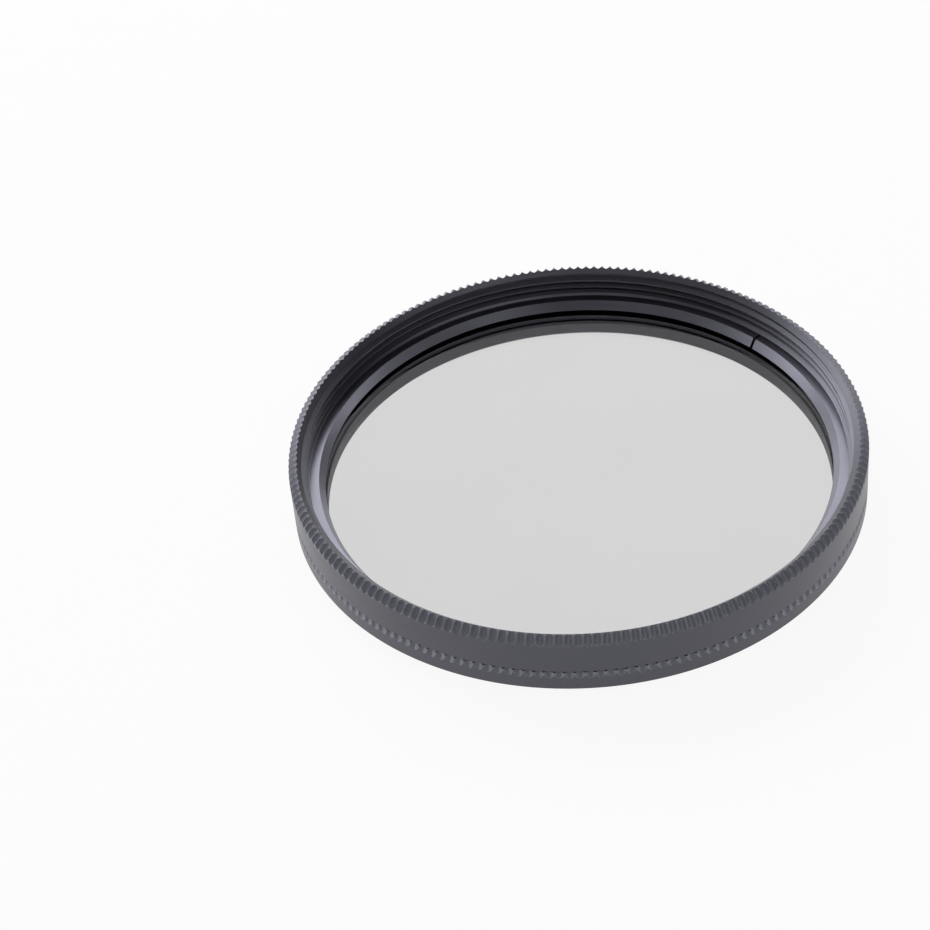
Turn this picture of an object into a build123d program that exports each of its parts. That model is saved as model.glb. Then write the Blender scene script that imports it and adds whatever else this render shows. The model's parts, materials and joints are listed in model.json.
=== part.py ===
"""Screw-in lens filter: a knurled front ring that turns in a rear ring.

The optical axis is Z, with the scene side up. The origin is on that axis, on the end of the rear thread
collar, which the filter rests on.
"""
import os
from math import cos, radians, sin, tan

from build123d import *

# Filter thread
thread_radius = 26.0
thread_depth = 0.4

# Heights that show from outside, from the rear end up
collar_length = 1.5
rim_height = 1.9
ring_gap = 0.2
band_height = 3.9

# Walls and steps, measured radially
ring_wall = 1.2
collar_wall = 1.6
sleeve_step = 0.35
seat_step = 0.6
ledge_step = 0.2

# Floor of the rear ring, ledge, glass and retaining ring, measured along the axis
floor_thickness = 0.45
ledge_thickness = 0.5
glass_thickness = 1.4
retainer_thickness = 0.85
lip_height = 0.2

# Retaining ring
retainer_grip = 0.2
retainer_flat = 1.03
retainer_split = 0.3
retainer_split_angle = 42

# Snap ring
snap_width = 0.5
snap_height = 0.5
snap_rise = 0.6
snap_split = 3.0

# Fits
running_clearance = 0.05
axial_play = 0.05
glass_clearance = 0.1
snap_play = 0.03
sleeve_neck_play = 0.1
spring_clearance = 0.02

# Front knurl: grooves cut at a slope into the upper outer corner, meeting in sharp crests
knurl_count = 204
knurl_angle = 105
knurl_slope = 45
knurl_root_wall = 0.27
knurl_bevel = 0.35

# Rear knurl: short upright flutes in the rim's upper edge, meeting in sharp crests over a plain band
flute_count = 188
flute_angle = 126
flute_depth = 0.25
flute_length = 0.85

# Radii that follow from those sizes
ring_radius = thread_radius + ring_wall
collar_radius = thread_radius - thread_depth
aperture_radius = collar_radius - collar_wall
ledge_radius = aperture_radius + ledge_step
sleeve_radius = thread_radius + sleeve_step
rim_bore_radius = sleeve_radius + running_clearance
seat_radius = thread_radius - seat_step
glass_radius = seat_radius - glass_clearance
retainer_groove_radius = seat_radius + retainer_grip
retainer_radius = retainer_groove_radius - spring_clearance
snap_radius = rim_bore_radius + snap_width / 2
snap_inner_radius = snap_radius - snap_width
neck_radius = snap_inner_radius - sleeve_neck_play

# Levels that follow from those sizes
rim_top = collar_length + rim_height
band_bottom = rim_top + ring_gap
front_top = band_bottom + band_height
floor_top = collar_length + floor_thickness
sleeve_bottom = floor_top + axial_play
glass_bottom = sleeve_bottom + ledge_thickness
glass_top = glass_bottom + glass_thickness
retainer_top = glass_top + retainer_thickness
lip_top = retainer_top + lip_height
snap_bottom = floor_top + snap_rise
snap_top = snap_bottom + snap_height

os.makedirs("parts", exist_ok=True)


# One groove of the front knurl: its root runs out on the band and is deepest at the top
knurl_depth = ring_wall - knurl_root_wall
knurl_run = knurl_depth / tan(radians(knurl_slope))
knurl_root = Plane(
    origin=(ring_radius, 0, front_top - knurl_run),
    x_dir=(0, 1, 0),
    z_dir=(-sin(radians(knurl_slope)), 0, cos(radians(knurl_slope))),
)
with BuildPart() as knurl_groove:
    with BuildSketch(knurl_root):
        with BuildLine():
            Polyline(
                (0, 0),
                (knurl_depth * tan(radians(knurl_angle / 2)), -knurl_depth),
                (-knurl_depth * tan(radians(knurl_angle / 2)), -knurl_depth),
                close=True,
            )
        make_face()
    extrude(amount=2 * knurl_run, both=True)


# Front ring: band, necked sleeve, threaded mouth, retainer groove and glass ledge in one turned section.
# A cone leads the retaining ring down to its groove, and its sharp lower edge holds the ring in.
with BuildPart() as front_ring:
    with BuildSketch(Plane.XZ):
        with BuildLine():
            Polyline(
                (ledge_radius, sleeve_bottom),
                (sleeve_radius, sleeve_bottom),
                (sleeve_radius, snap_bottom - snap_play),
                (neck_radius, snap_bottom - snap_play),
                (neck_radius, band_bottom),
                (ring_radius, band_bottom),
                (ring_radius, front_top - knurl_bevel),
                (ring_radius - knurl_bevel, front_top),
                (thread_radius, front_top),
                (thread_radius, lip_top),
                (seat_radius, retainer_top),
                (retainer_groove_radius, retainer_top),
                (retainer_groove_radius, glass_top),
                (seat_radius, glass_top),
                (seat_radius, glass_bottom),
                (ledge_radius, glass_bottom),
                close=True,
            )
        make_face()
    revolve(axis=Axis.Z)

    # Neighbouring grooves meet at the crests, so every second one is cut first
    for first_angle in (0, 360 / knurl_count):
        with PolarLocations(0, knurl_count // 2, start_angle=first_angle):
            add(knurl_groove.part, mode=Mode.SUBTRACT)


# Rear ring: fluted rim, floor and thread collar in one turned section
with BuildPart() as rear_ring:
    with BuildSketch(Plane.XZ):
        with BuildLine():
            Polyline(
                (aperture_radius, 0),
                (collar_radius, 0),
                (collar_radius, collar_length),
                (ring_radius, collar_length),
                (ring_radius, rim_top),
                (rim_bore_radius, rim_top),
                (rim_bore_radius, snap_top + snap_play),
                (snap_radius + snap_play, snap_top + snap_play),
                (snap_radius + snap_play, snap_bottom - snap_play),
                (rim_bore_radius, snap_bottom - snap_play),
                (rim_bore_radius, floor_top),
                (aperture_radius, floor_top),
                close=True,
            )
        make_face()
    revolve(axis=Axis.Z)

    flute_reach = 2 * flute_depth
    flute_half_width = flute_reach * tan(radians(flute_angle / 2))
    with BuildSketch(Plane.XY.offset(rim_top - flute_length)):
        with PolarLocations(ring_radius - flute_depth, flute_count):
            Polygon((0, 0), (flute_reach, -flute_half_width), (flute_reach, flute_half_width), align=None)
    extrude(amount=flute_length, mode=Mode.SUBTRACT)


# Filter glass: flat disc
with BuildPart() as filter_glass:
    with BuildSketch(Plane.XY.offset(glass_bottom)):
        Circle(glass_radius)
    extrude(amount=glass_thickness)


# Retaining ring: flat top, bevelled bore, one narrow split
with BuildPart() as retaining_ring:
    with BuildSketch(Plane.XZ):
        with BuildLine():
            Polyline(
                (aperture_radius, glass_top),
                (retainer_radius, glass_top),
                (retainer_radius, retainer_top),
                (retainer_radius - retainer_flat, retainer_top),
                close=True,
            )
        make_face()
    revolve(axis=Axis.Z)
    with BuildSketch(Plane.XY.offset(glass_top)):
        with PolarLocations((aperture_radius + retainer_radius) / 2, 1, start_angle=retainer_split_angle):
            Rectangle(2 * (retainer_radius - aperture_radius), retainer_split)
    extrude(amount=retainer_thickness, mode=Mode.SUBTRACT)


# Snap ring: square spring wire, sprung outward into the rim
with BuildPart() as snap_ring:
    with BuildSketch(Plane.XY.offset(snap_bottom)):
        Circle(snap_radius)
        Circle(snap_inner_radius, mode=Mode.SUBTRACT)
        with Locations((snap_radius - snap_width / 2, 0)):
            Rectangle(4 * snap_width, snap_split, mode=Mode.SUBTRACT)
    extrude(amount=snap_height)


front_ring.part.label = "front_ring"
rear_ring.part.label = "rear_ring"
filter_glass.part.label = "filter_glass"
retaining_ring.part.label = "retaining_ring"
snap_ring.part.label = "snap_ring"

export_step(front_ring.part, "parts/front_ring.step")
export_step(rear_ring.part, "parts/rear_ring.step")
export_step(filter_glass.part, "parts/filter_glass.step")
export_step(retaining_ring.part, "parts/retaining_ring.step")
export_step(snap_ring.part, "parts/snap_ring.step")
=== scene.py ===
"""Looks of a screw-in lens filter with a turning front ring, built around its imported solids.

Sizes are in millimetres until a mesh is made, and the optical axis is Z, with the scene side up.
"""
import json
from math import cos, radians, sin, tan, tau

import bmesh
import bpy
import numpy as np
from mathutils import Matrix, Vector


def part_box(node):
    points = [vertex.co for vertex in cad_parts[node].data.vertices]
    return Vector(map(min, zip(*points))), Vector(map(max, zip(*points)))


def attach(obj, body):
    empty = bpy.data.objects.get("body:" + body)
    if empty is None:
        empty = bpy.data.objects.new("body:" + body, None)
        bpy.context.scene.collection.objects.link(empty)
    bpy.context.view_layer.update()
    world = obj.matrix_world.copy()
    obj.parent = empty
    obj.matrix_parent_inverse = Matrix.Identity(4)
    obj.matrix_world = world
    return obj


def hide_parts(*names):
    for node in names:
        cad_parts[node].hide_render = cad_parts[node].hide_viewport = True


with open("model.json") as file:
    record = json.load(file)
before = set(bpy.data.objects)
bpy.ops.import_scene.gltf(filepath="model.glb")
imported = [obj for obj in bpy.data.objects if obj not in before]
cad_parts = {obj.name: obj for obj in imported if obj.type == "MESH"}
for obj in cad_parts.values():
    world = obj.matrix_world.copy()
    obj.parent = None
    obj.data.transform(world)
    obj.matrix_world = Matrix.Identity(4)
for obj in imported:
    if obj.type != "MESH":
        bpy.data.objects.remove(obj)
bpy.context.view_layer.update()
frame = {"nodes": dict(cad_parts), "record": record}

MM = 0.001

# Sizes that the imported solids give
mounts = {mount["name"]: mount["dims"] for mount in frame["record"]["mounts"]}
thread_root = mounts["front_thread"]["r_mm"]
thread_length = mounts["front_thread"]["length_mm"]
collar_root = mounts["rear_thread"]["r_mm"]
collar_length = mounts["rear_thread"]["length_mm"]
ring_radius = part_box("front_ring")[1].x / MM
front_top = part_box("front_ring")[1].z / MM
sleeve_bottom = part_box("front_ring")[0].z / MM
rim_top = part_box("rear_ring")[1].z / MM
glass_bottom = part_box("filter_glass")[0].z / MM
glass_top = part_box("filter_glass")[1].z / MM
retainer_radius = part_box("retaining_ring")[1].y / MM
retainer_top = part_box("retaining_ring")[1].z / MM
snap_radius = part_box("snap_ring")[1].y / MM
snap_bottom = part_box("snap_ring")[0].z / MM
snap_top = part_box("snap_ring")[1].z / MM

# Steps and plays of the turned sections
ring_gap = 0.2
sleeve_step = 0.35
running_clearance = 0.05
axial_play = 0.05
neck_step = 0.6
seat_step = 0.6
collar_wall = 1.6
ledge_step = 0.2
retainer_grip = 0.2
retainer_flat = 1.03
snap_play = 0.03
edge_break = 0.08
aperture_bevel = 0.55
aperture_radius = collar_root - collar_wall
ledge_radius = aperture_radius + ledge_step
floor_top = sleeve_bottom - axial_play

# Filter threads, with a crest's half width and the foot of its flanks as shares of the pitch
thread_pitch = 0.75
thread_depth = 0.4
crest_half = 1 / 8
flank_foot = 7 / 16
front_first_crest = 7.0
rear_first_crest = 0
mouth_chamfer = 0.42
collar_relief = 0.3
collar_lead = 0.15

# Front knurl: round scallops at a slope in the upper corner
knurl_count = 204
knurl_slope = radians(45)
knurl_root_wall = 0.27
knurl_crest = 0.32

# Rear knurl: steeper scallops in the upper corner, over a plain band
flute_count = 188
flute_slope = radians(25)
flute_depth = 0.3
flute_crest = 0.19

# Split in the retaining ring
split_width = 0.3
split_angle = radians(42)

# Mesh resolution
columns_per_groove = 10
retainer_columns = 720
weld_distance = 0.0002
crease_angle = radians(21)

# Camera, fitted to the photograph
image_size = 930
focal_pixels = 2500
sensor_width = 36
camera_distance = 8.6358 * ring_radius
camera_elevation = radians(40.166)
camera_pan = radians(-2.579)
camera_tilt = radians(-0.5241)
camera_roll = radians(3.4782)

# Stage: half the floor's width in metres, how far it lies under the filter, how much of it reads as plain
# white, and the strength of the surroundings
floor_half = 3
floor_drop = 0.02
white_share = 0.92
world_strength = 0.06


# Node helpers
def new_material(name):
    """A material with its node tree and its Principled shader."""
    material = bpy.data.materials.new(name)
    material.use_nodes = True
    return material, material.node_tree, material.node_tree.nodes["Principled BSDF"]


def grain(tree, stretch, detail):
    """Noise on the piece's own coordinates, with its cells per metre along each axis."""
    coordinates = tree.nodes.new("ShaderNodeTexCoord")
    mapping = tree.nodes.new("ShaderNodeMapping")
    noise = tree.nodes.new("ShaderNodeTexNoise")
    mapping.inputs["Scale"].default_value = stretch
    noise.inputs["Scale"].default_value = 1
    noise.inputs["Detail"].default_value = detail
    tree.links.new(coordinates.outputs["Object"], mapping.inputs["Vector"])
    tree.links.new(mapping.outputs["Vector"], noise.inputs["Vector"])
    return noise.outputs["Fac"]


def shade_between(tree, source, low, high):
    """Spread a noise between two colours."""
    ramp = tree.nodes.new("ShaderNodeValToRGB")
    ramp.color_ramp.elements[0].position = 0.3
    ramp.color_ramp.elements[1].position = 0.7
    ramp.color_ramp.elements[0].color = (*low, 1)
    ramp.color_ramp.elements[1].color = (*high, 1)
    tree.links.new(source, ramp.inputs["Fac"])
    return ramp.outputs["Color"]


def value_between(tree, source, low, high):
    """Spread a noise between two values."""
    spread = tree.nodes.new("ShaderNodeMapRange")
    spread.inputs["From Min"].default_value = 0.3
    spread.inputs["From Max"].default_value = 0.7
    spread.inputs["To Min"].default_value = low
    spread.inputs["To Max"].default_value = high
    tree.links.new(source, spread.inputs["Value"])
    return spread.outputs["Result"]


def raise_surface(tree, shader, source, height):
    """Bump of a height in millimetres."""
    bump = tree.nodes.new("ShaderNodeBump")
    bump.inputs["Distance"].default_value = height * MM
    tree.links.new(source, bump.inputs["Height"])
    tree.links.new(bump.outputs["Normal"], shader.inputs["Normal"])


# Materials
def anodised(name, dark, light, smooth, rough, index):
    """Black anodised aluminium: turning marks run round it, over a fine etched grain.

    It lies between two colours and two roughnesses, and a higher refractive index gives it more sheen.
    """
    material, tree, shader = new_material(name)
    etched = grain(tree, (5000, 5000, 5000), 3)
    turned = grain(tree, (150, 150, 12000), 4)
    tree.links.new(shade_between(tree, etched, dark, light), shader.inputs["Base Color"])
    tree.links.new(value_between(tree, turned, smooth, rough), shader.inputs["Roughness"])
    shader.inputs["IOR"].default_value = index
    shader.inputs["Specular Tint"].default_value = (0.83, 0.83, 1, 1)
    raise_surface(tree, shader, turned, 0.002)
    return material


def grey_glass():
    """Neutral grey glass with a barely uneven tint and a coating against reflections."""
    material, tree, shader = new_material("grey_glass")
    cloudy = grain(tree, (60, 60, 60), 2)
    tint = shade_between(tree, cloudy, (0.665, 0.665, 0.665), (0.675, 0.675, 0.675))
    tree.links.new(tint, shader.inputs["Base Color"])
    shader.inputs["Roughness"].default_value = 0
    shader.inputs["IOR"].default_value = 1.3
    shader.inputs["Specular Tint"].default_value = (0.05, 0.05, 0.05, 1)
    shader.inputs["Transmission Weight"].default_value = 1
    return material


def spring_steel():
    """Bright drawn wire, with fine lines along it."""
    material, tree, shader = new_material("spring_steel")
    drawn = grain(tree, (200, 200, 20000), 3)
    shade = shade_between(tree, drawn, (0.42, 0.42, 0.43), (0.58, 0.58, 0.58))
    tree.links.new(shade, shader.inputs["Base Color"])
    tree.links.new(value_between(tree, drawn, 0.22, 0.38), shader.inputs["Roughness"])
    shader.inputs["Metallic"].default_value = 1
    raise_surface(tree, shader, drawn, 0.002)
    return material


def white_floor():
    """Pale floor that reads as white to the eye, in gloss and through glass, and still takes a shadow."""
    material, tree, shader = new_material("white_floor")
    speckle = grain(tree, (300, 300, 300), 2)
    shade = shade_between(tree, speckle, (0.86, 0.86, 0.86), (0.88, 0.88, 0.88))
    tree.links.new(shade, shader.inputs["Base Color"])
    shader.inputs["Roughness"].default_value = 0.9
    shader.inputs["Specular IOR Level"].default_value = 0
    path = tree.nodes.new("ShaderNodeLightPath")
    seen = path.outputs["Is Camera Ray"]
    for kind in ("Is Glossy Ray", "Is Transmission Ray"):
        either = tree.nodes.new("ShaderNodeMath")
        either.operation = "MAXIMUM"
        tree.links.new(seen, either.inputs[0])
        tree.links.new(path.outputs[kind], either.inputs[1])
        seen = either.outputs[0]
    share = tree.nodes.new("ShaderNodeMath")
    share.operation = "MULTIPLY"
    share.inputs[1].default_value = white_share
    tree.links.new(seen, share.inputs[0])
    glow = tree.nodes.new("ShaderNodeEmission")
    mix = tree.nodes.new("ShaderNodeMixShader")
    tree.links.new(share.outputs[0], mix.inputs["Fac"])
    tree.links.new(shader.outputs[0], mix.inputs[1])
    tree.links.new(glow.outputs[0], mix.inputs[2])
    tree.links.new(mix.outputs[0], tree.nodes["Material Output"].inputs["Surface"])
    return material


# Meshes
def place(piece, body, node):
    """Put a piece on its body in the place of its solid."""
    bpy.context.scene.collection.objects.link(piece)
    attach(piece, body)
    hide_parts(node)


def turn(name, angles, rows, capped=False):
    """Turn a closed section round the axis.

    A row is a radius, a height and the finish of the wall up to the next row. Its radius and height may
    follow the angle. Points that fall together are welded, which also closes the ring.
    """
    finishes = list(dict.fromkeys(finish for radius, height, finish in rows))
    wall_finishes = [finishes.index(finish) for radius, height, finish in rows]
    points = np.empty((len(rows), len(angles), 3))
    for index, (radius, height, finish) in enumerate(rows):
        points[index, :, 0] = radius * np.cos(angles)
        points[index, :, 1] = radius * np.sin(angles)
        points[index, :, 2] = height
    grid = np.arange(points[..., 0].size).reshape(len(rows), len(angles))
    following = np.roll(grid, -1, axis=0)
    walls = [grid[:, :-1], grid[:, 1:], following[:, 1:], following[:, :-1]]
    faces = np.stack(walls, axis=-1).reshape(-1, 4).tolist()
    face_finishes = np.repeat(wall_finishes, len(angles) - 1).tolist()
    if capped:
        faces += [grid[::-1, 0].tolist(), grid[:, -1].tolist()]
        face_finishes += wall_finishes[:1] * 2
    mesh = bpy.data.meshes.new(name)
    mesh.from_pydata((points * MM).reshape(-1, 3).tolist(), [], faces)
    mesh.polygons.foreach_set("material_index", face_finishes)
    work = bmesh.new()
    work.from_mesh(mesh)
    bmesh.ops.remove_doubles(work, verts=work.verts, dist=weld_distance * MM)
    bmesh.ops.recalc_face_normals(work, faces=work.faces)
    for face in work.faces:
        face.smooth = True
    work.to_mesh(mesh)
    work.free()
    mesh.set_sharp_from_angle(angle=crease_angle)
    for finish in finishes:
        mesh.materials.append(finish)
    return bpy.data.objects.new(name, mesh)


def around(count):
    """Angles of the columns, with a whole number of them to each groove."""
    return np.linspace(0, tau, count * columns_per_groove + 1)


def scallop(angles, count, crest):
    """How far a round groove's surface stands over its root, up to the crest between two grooves."""
    across = (angles * count / tau + 0.5) % 1 - 0.5
    return crest * (2 * across) ** 2


def ridge(angles, height, first_crest):
    """Share of a right-handed thread's depth at a height, from 0 at its root to 1 on its crest."""
    turns = (height - first_crest) / thread_pitch - angles / tau
    from_crest = np.abs((turns + 0.5) % 1 - 0.5)
    return np.clip((flank_foot - from_crest) / (flank_foot - crest_half), 0, 1)


def thread_heights(angles, low, high, first_crest):
    """Rows along the thread's corners, from the top down. What lies past either end is held to that end."""
    heights = []
    turn_count = int((high - low) / thread_pitch) + 3
    for turn_number in range(turn_count):
        for corner in (flank_foot, crest_half, -crest_half, -flank_foot):
            row = first_crest + thread_pitch * (angles / tau + corner - turn_number)
            heights.append(np.clip(row, low, high))
    return heights


def front_ring(satin, groove_painted_light, matt, dull):
    """Knurled ring with the front thread, the groove of the retaining ring and the glass seat."""
    angles = around(knurl_count)
    rise = scallop(angles, knurl_count, knurl_crest)
    knurl_depth = ring_radius - thread_root - knurl_root_wall
    run_out = front_top - knurl_depth / tan(knurl_slope) + rise / sin(knurl_slope)
    rim_edge = thread_root + knurl_root_wall + rise / cos(knurl_slope)

    # The mouth's chamfer leaves flat tops on the teeth, and meets the grooves between them lower down
    mouth_radius = thread_root + mouth_chamfer
    drop = np.maximum(mouth_radius - rim_edge, 0) / (1 + tan(knurl_slope))
    tooth_edge = rim_edge + drop * tan(knurl_slope)
    tooth_top = front_top - drop
    band_bottom = rim_top + ring_gap
    thread_bottom = front_top - thread_length
    sleeve_radius = thread_root + sleeve_step
    neck_radius = snap_radius - neck_step
    seat_radius = thread_root - seat_step
    groove_radius = seat_radius + retainer_grip
    rows = [
        (ledge_radius, sleeve_bottom, satin),
        (sleeve_radius, sleeve_bottom, satin),
        (sleeve_radius, snap_bottom - snap_play, satin),
        (neck_radius, snap_bottom - snap_play, satin),
        (neck_radius, band_bottom, satin),
        (ring_radius - edge_break, band_bottom, satin),
        (ring_radius, band_bottom + edge_break, satin),
        # The knurl's grooves take the lighter black, which is painted light
        (ring_radius, run_out, groove_painted_light),
        ((ring_radius + tooth_edge) / 2, (run_out + tooth_top) / 2, groove_painted_light),
        (tooth_edge, tooth_top, satin),
        (mouth_radius - drop, tooth_top, matt),
    ]
    for height in thread_heights(angles, thread_bottom, front_top - mouth_chamfer, front_first_crest):
        wall = thread_root - thread_depth * ridge(angles, height, front_first_crest)
        rows.append((np.maximum(wall, mouth_radius - front_top + height), height, matt))
    rows += [
        (seat_radius, retainer_top, matt),
        (groove_radius, retainer_top, matt),
        (groove_radius, glass_top, matt),
        (seat_radius, glass_top, matt),
        (seat_radius, glass_bottom, matt),
        (ledge_radius, glass_bottom, dull),
    ]
    return turn("knurled_front_ring", angles, rows)


def rear_ring(satin, groove_painted_light, dull):
    """Fluted ring with the floor that the front ring runs on, and the collar with the rear thread."""
    angles = around(flute_count)
    rise = scallop(angles, flute_count, flute_crest)
    run_out = rim_top - flute_depth / tan(flute_slope) + rise / sin(flute_slope)
    rim_edge = ring_radius - flute_depth + rise / cos(flute_slope)
    bore_radius = thread_root + sleeve_step + running_clearance
    thread_top = collar_length - collar_relief
    rows = [
        (aperture_radius, floor_top, dull),
        (aperture_radius, aperture_bevel, dull),
        (aperture_radius + aperture_bevel, 0, satin),
    ]
    for height in reversed(thread_heights(angles, 0, thread_top, rear_first_crest)):
        wall = collar_root + thread_depth * ridge(angles, height, rear_first_crest)
        rows.append((np.minimum(wall, collar_root - collar_lead + height), height, satin))
    rows += [
        (collar_root, thread_top, satin),
        (collar_root, collar_length, satin),
        (ring_radius - edge_break, collar_length, satin),
        (ring_radius, collar_length + edge_break, satin),
        # The flutes take the lighter black, which is painted light
        (ring_radius, run_out, groove_painted_light),
        ((ring_radius + rim_edge) / 2, (run_out + rim_top) / 2, groove_painted_light),
        (rim_edge, rim_top, satin),
        (bore_radius, rim_top, satin),
        (bore_radius, snap_top + snap_play, satin),
        (snap_radius + snap_play, snap_top + snap_play, satin),
        (snap_radius + snap_play, snap_bottom - snap_play, satin),
        (bore_radius, snap_bottom - snap_play, satin),
        (bore_radius, floor_top, dull),
    ]
    return turn("fluted_rear_ring", angles, rows)


def retaining_ring(semi_gloss):
    """Split ring with a bevelled bore, on top of the glass."""
    half_split = split_width / 2 / retainer_radius
    start = split_angle + half_split
    angles = np.linspace(start, start + tau - 2 * half_split, retainer_columns)
    bevel_radius = retainer_radius - retainer_flat
    rows = [
        (aperture_radius, glass_top, semi_gloss),
        (retainer_radius, glass_top, semi_gloss),
        (retainer_radius, retainer_top - edge_break, semi_gloss),
        (retainer_radius - edge_break, retainer_top, semi_gloss),
        (bevel_radius, retainer_top, semi_gloss),
    ]
    return turn("bevelled_retaining_ring", angles, rows, capped=True)


def floor():
    """Large plane, a hair under the filter."""
    signs = ((-1, -1), (1, -1), (1, 1), (-1, 1))
    corners = [(x * floor_half, y * floor_half, -floor_drop * MM) for x, y in signs]
    mesh = bpy.data.meshes.new("floor")
    mesh.from_pydata(corners, [], [(0, 1, 2, 3)])
    mesh.materials.append(white_floor())
    return bpy.data.objects.new("floor", mesh)


# Light and camera
def area_light(name, location, width, height, power):
    """Soft lamp that faces the filter."""
    lamp = bpy.data.lights.new(name, "AREA")
    lamp.shape = "RECTANGLE"
    lamp.size = width
    lamp.size_y = height
    lamp.energy = power
    holder = bpy.data.objects.new(name, lamp)
    holder.location = location
    holder.rotation_euler = (-Vector(location)).to_track_quat("-Z", "Y").to_euler()
    bpy.context.scene.collection.objects.link(holder)


def light_scene():
    """Dim surroundings, a screen and a window behind the filter, low side strips and fills in front."""
    world = bpy.data.worlds.new("studio")
    world.use_nodes = True
    background = world.node_tree.nodes["Background"]
    background.inputs["Color"].default_value = (1, 1, 1, 1)
    background.inputs["Strength"].default_value = world_strength
    bpy.context.scene.world = world
    area_light("back_screen", (-0.12, 0.62, 0.29), 1.2, 0.6, 5.6)
    area_light("rear_window", (-0.52, 0.38, 0.4), 0.5, 0.4, 2.5)
    area_light("right_strip", (0.6, 0.05, 0.05), 0.9, 0.09, 0.9)
    area_light("left_strip", (-0.6, 0, 0.06), 1.0, 0.11, 1.3)
    area_light("right_fill", (0.4, -0.34, 0.55), 0.6, 0.35, 0.65)
    area_light("left_fill", (-0.4, -0.34, 0.55), 0.6, 0.35, 0.25)
    area_light("front_fill", (0.05, -0.4, 0.63), 0.9, 0.35, 0.7)


def aim_camera():
    """Camera at the photograph's place: it looks at the front rim's centre, then pans, tilts and rolls."""
    lens = bpy.data.cameras.new("camera")
    lens.sensor_width = sensor_width
    lens.lens = sensor_width * focal_pixels / image_size
    backward = Vector((0, -cos(camera_elevation), sin(camera_elevation)))
    right = Vector((1, 0, 0))
    up = backward.cross(right)
    facing = Matrix((right, up, backward)).transposed()
    facing @= Matrix.Rotation(-camera_pan, 3, "Y")
    facing @= Matrix.Rotation(camera_tilt, 3, "X")
    facing @= Matrix.Rotation(-camera_roll, 3, "Z")
    eye = Vector((0, 0, front_top)) + camera_distance * backward
    holder = bpy.data.objects.new("camera", lens)
    holder.matrix_world = Matrix.Translation(eye * MM) @ facing.to_4x4()
    bpy.context.scene.collection.objects.link(holder)
    bpy.context.scene.camera = holder


# The filter: satin outside, matt in the front thread and dull under the glass; the grooves take a lighter
# black, which is painted light standing in for the light they catch
satin = anodised("satin_black", (0.024, 0.024, 0.029), (0.032, 0.032, 0.038), 0.3, 0.4, 1.8)
# Lighter black for the knurl and flute grooves: painted light, standing in for the light that the grooves
# catch
groove_painted_light = anodised("groove_painted_light_black", (0.145, 0.145, 0.17), (0.165, 0.165, 0.194), 0.34, 0.44, 1.9)
matt = anodised("matt_black", (0.008, 0.008, 0.01), (0.012, 0.012, 0.014), 0.36, 0.48, 1.85)
dull = anodised("dull_black", (0.02, 0.02, 0.024), (0.026, 0.026, 0.031), 0.5, 0.6, 1.75)
semi_gloss = anodised("semi_gloss_black", (0.007, 0.007, 0.008), (0.011, 0.011, 0.013), 0.28, 0.36, 3.1)

place(front_ring(satin, groove_painted_light, matt, dull), "rotator", "front_ring")
place(rear_ring(satin, groove_painted_light, dull), "mount", "rear_ring")
place(retaining_ring(semi_gloss), "rotator", "retaining_ring")

frame["nodes"]["filter_glass"].data.materials[0] = grey_glass()
frame["nodes"]["snap_ring"].data.materials[0] = spring_steel()

# The stage
ground = floor()
bpy.context.scene.collection.objects.link(ground)
light_scene()
aim_camera()
bpy.context.scene.view_settings.view_transform = "Standard"
